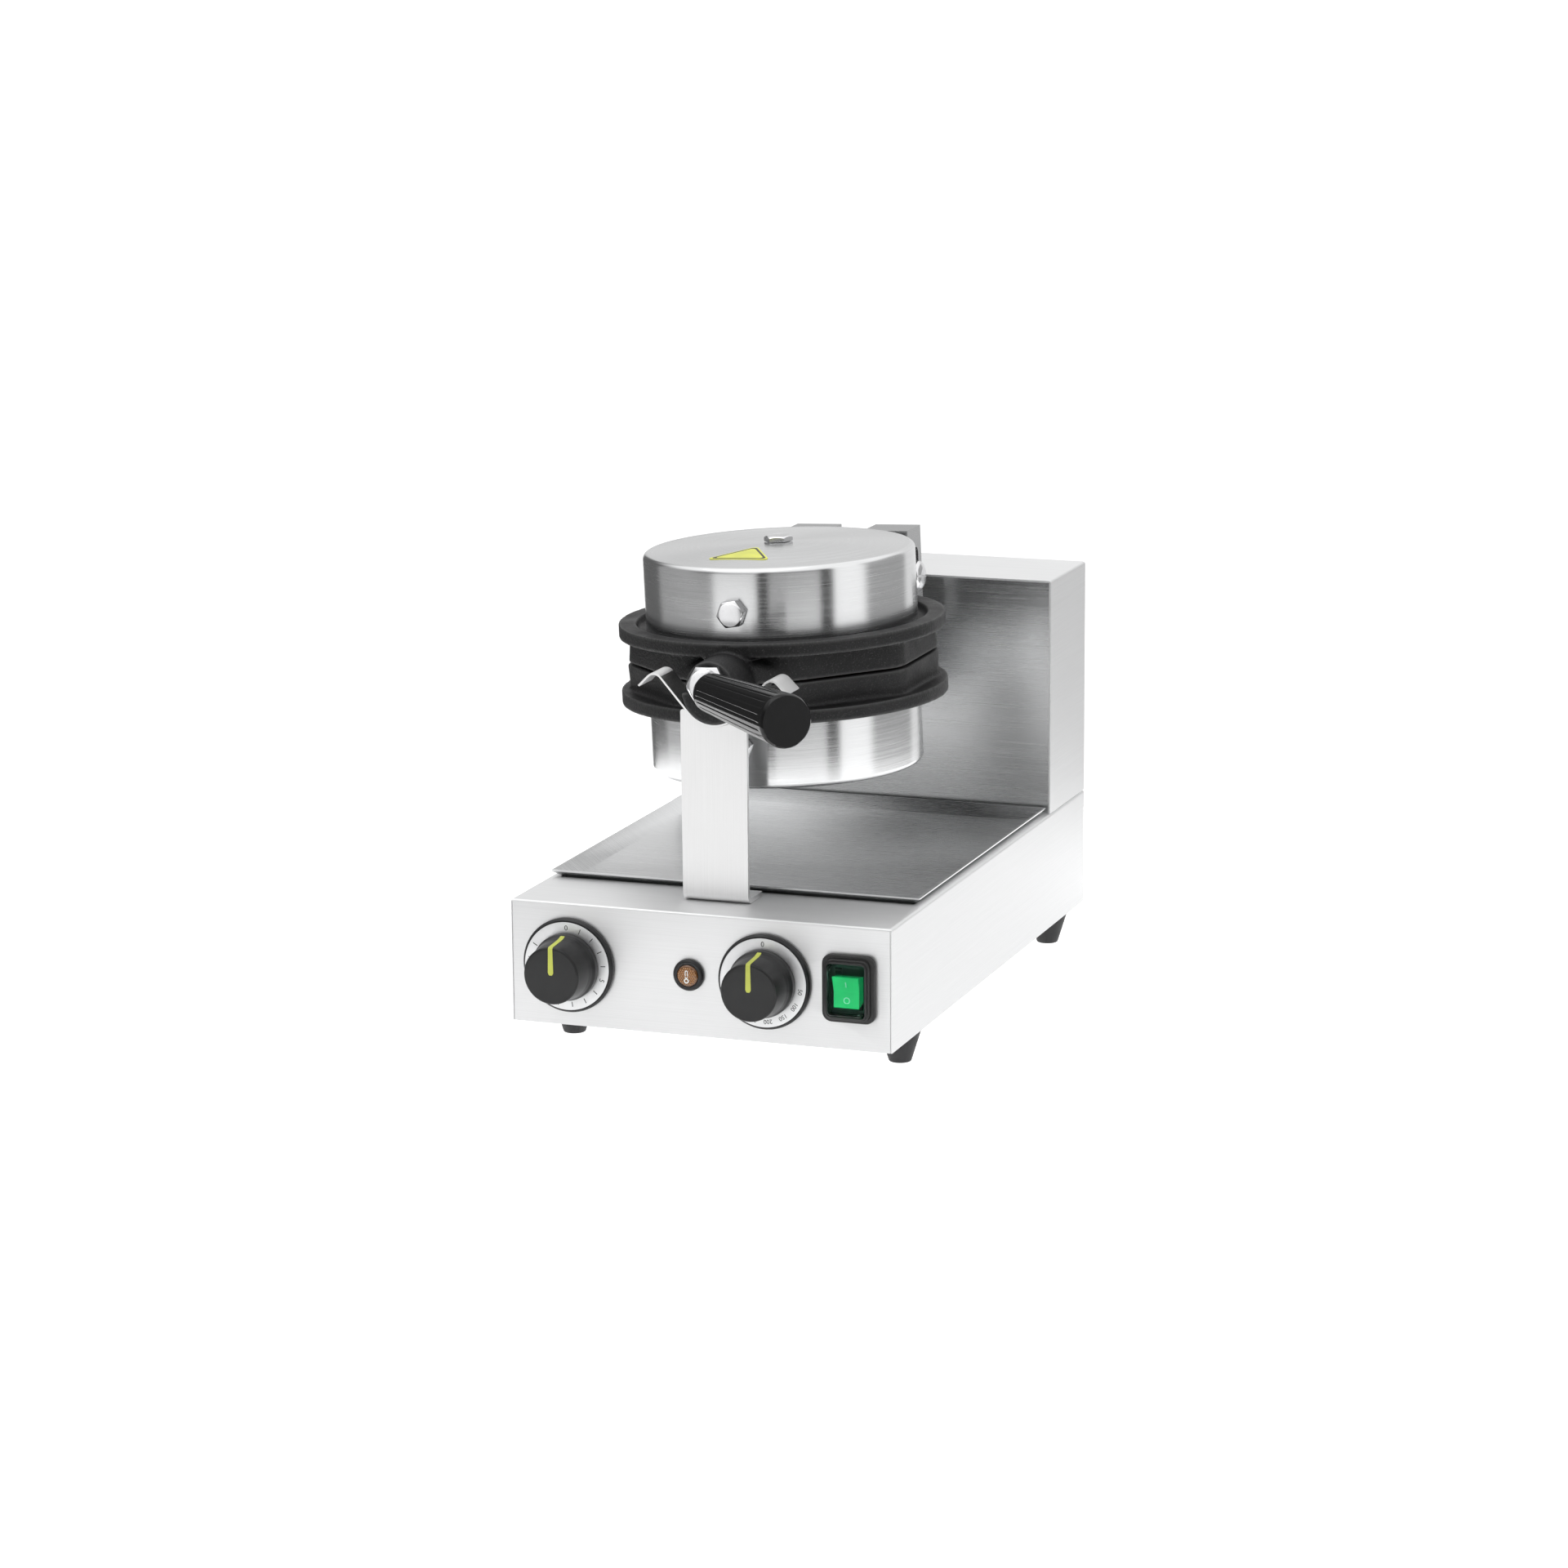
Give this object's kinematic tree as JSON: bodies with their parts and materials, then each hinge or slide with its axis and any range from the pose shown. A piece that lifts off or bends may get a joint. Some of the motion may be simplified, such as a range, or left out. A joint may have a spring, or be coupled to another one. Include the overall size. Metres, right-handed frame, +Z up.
{
  "type": "waffle maker",
  "caption": "Rotary waffle maker with two round cast plates in steel casings that turn and open above a drip tray, on a boxed base with dial controls and a rear tower.",
  "frame": {"origin": "on the table under the middle of the whole outline, handle and cable gland included", "axes": "+X to the user's right, +Y from the control panel to the tower, +Z up"},
  "size_m": [0.25, 0.513, 0.3104],
  "materials": {
    "stainless": "fine brushed",
    "plated_steel": "plain plated",
    "bright_fastener": "bright",
    "cast_iron": "sand cast, seasoned black",
    "bronze": "machined",
    "foot_rubber": "matte",
    "bakelite": "polished",
    "black_moulding": "satin",
    "knob_plastic": "satin",
    "scale_plate": "satin, printed",
    "amber_lens": "clear moulded",
    "green_rocker": "glossy translucent",
    "clear_boot": "soft clear cover",
    "sticker_film": "printed film"
  },
  "bodies": {
    "frame": {"base_housing": "stainless", "base_bottom_plate": "plated_steel", "foot_front_left": "foot_rubber", "foot_front_right": "foot_rubber", "foot_rear_left": "foot_rubber", "foot_rear_right": "foot_rubber", "tray_frame": "plated_steel", "tower_cover": "stainless", "tower_front_panel": "stainless", "tower_rear_cover": "stainless", "rear_cover_screw_left": "bright_fastener", "rear_cover_screw_right": "bright_fastener", "bearing_bracket": "plated_steel", "front_bush": "bronze", "rear_bush": "bronze", "cable_gland": "black_moulding", "front_bracket": "stainless", "bracket_screw_left": "bright_fastener", "bracket_screw_right": "bright_fastener", "cradle": "stainless", "timer_bezel": "black_moulding", "timer_scale": "scale_plate", "timer_body": "black_moulding", "thermostat_bezel": "black_moulding", "thermostat_scale": "scale_plate", "thermostat_body": "black_moulding", "lamp_bezel": "black_moulding", "lamp_lens": "amber_lens", "switch_frame": "foot_rubber", "switch_body": "black_moulding", "switch_boot": "clear_boot"},
    "tray": {"drip_tray": "stainless"},
    "rotor": {"rotor_shaft": "plated_steel", "stop_collar": "plated_steel", "shaft_circlip": "bright_fastener", "hinge_box": "stainless", "lower_casting": "cast_iron", "casting_bolt_left": "bright_fastener", "casting_bolt_right": "bright_fastener", "lower_casing": "stainless", "lower_heater": "plated_steel", "lower_centre_bolt": "bright_fastener", "lower_side_bolt": "bright_fastener"},
    "pin": {"hinge_pin": "bright_fastener", "pin_cap_left": "bright_fastener", "pin_cap_right": "bright_fastener", "pin_spacer_left": "bright_fastener", "pin_spacer_right": "bright_fastener"},
    "lid": {"upper_casting": "cast_iron", "upper_casing": "stainless", "upper_heater": "plated_steel", "upper_centre_bolt": "bright_fastener", "upper_side_bolt": "bright_fastener", "warning_sticker": "sticker_film", "handle_rod": "bright_fastener", "handle_nut": "bright_fastener", "handle_grip": "bakelite"},
    "timer_dial": {"timer_knob": "knob_plastic"},
    "thermostat_dial": {"thermostat_knob": "knob_plastic"},
    "rocker": {"switch_rocker": "green_rocker"}
  },
  "joints": [
    {"name": "rotor_turn", "type": "hinge", "parent": "frame", "child": "rotor", "pos_m": [0, 0.03923, 0.233], "axis": [0, 1, 0], "range_deg": [-177.7, 2.3]},
    {"name": "lid_float", "type": "slide", "parent": "rotor", "child": "pin", "axis": [-0.0401, 0, 0.9992], "range_m": [0, 0.0145]},
    {"name": "lid_open", "type": "hinge", "parent": "pin", "child": "lid", "pos_m": [-0.00111, 0.13373, 0.26068], "axis": [-0.9992, 0, -0.0401], "range_deg": [0, 95]},
    {"name": "tray_lift", "type": "slide", "parent": "frame", "child": "tray", "axis": [0, 0, 1], "range_m": [0, 0.04]},
    {"name": "timer_turn", "type": "hinge", "parent": "frame", "child": "timer_dial", "pos_m": [-0.086, -0.16577, 0.061], "axis": [0, 1, 0], "range_deg": [0, 300]},
    {"name": "thermostat_turn", "type": "hinge", "parent": "frame", "child": "thermostat_dial", "pos_m": [0.0435, -0.16577, 0.061], "axis": [0, 1, 0], "range_deg": [0, 270]},
    {"name": "switch_rock", "type": "hinge", "parent": "frame", "child": "rocker", "pos_m": [0.098, -0.16477, 0.061], "axis": [-1, 0, 0], "range_deg": [0, 18]}
  ]
}
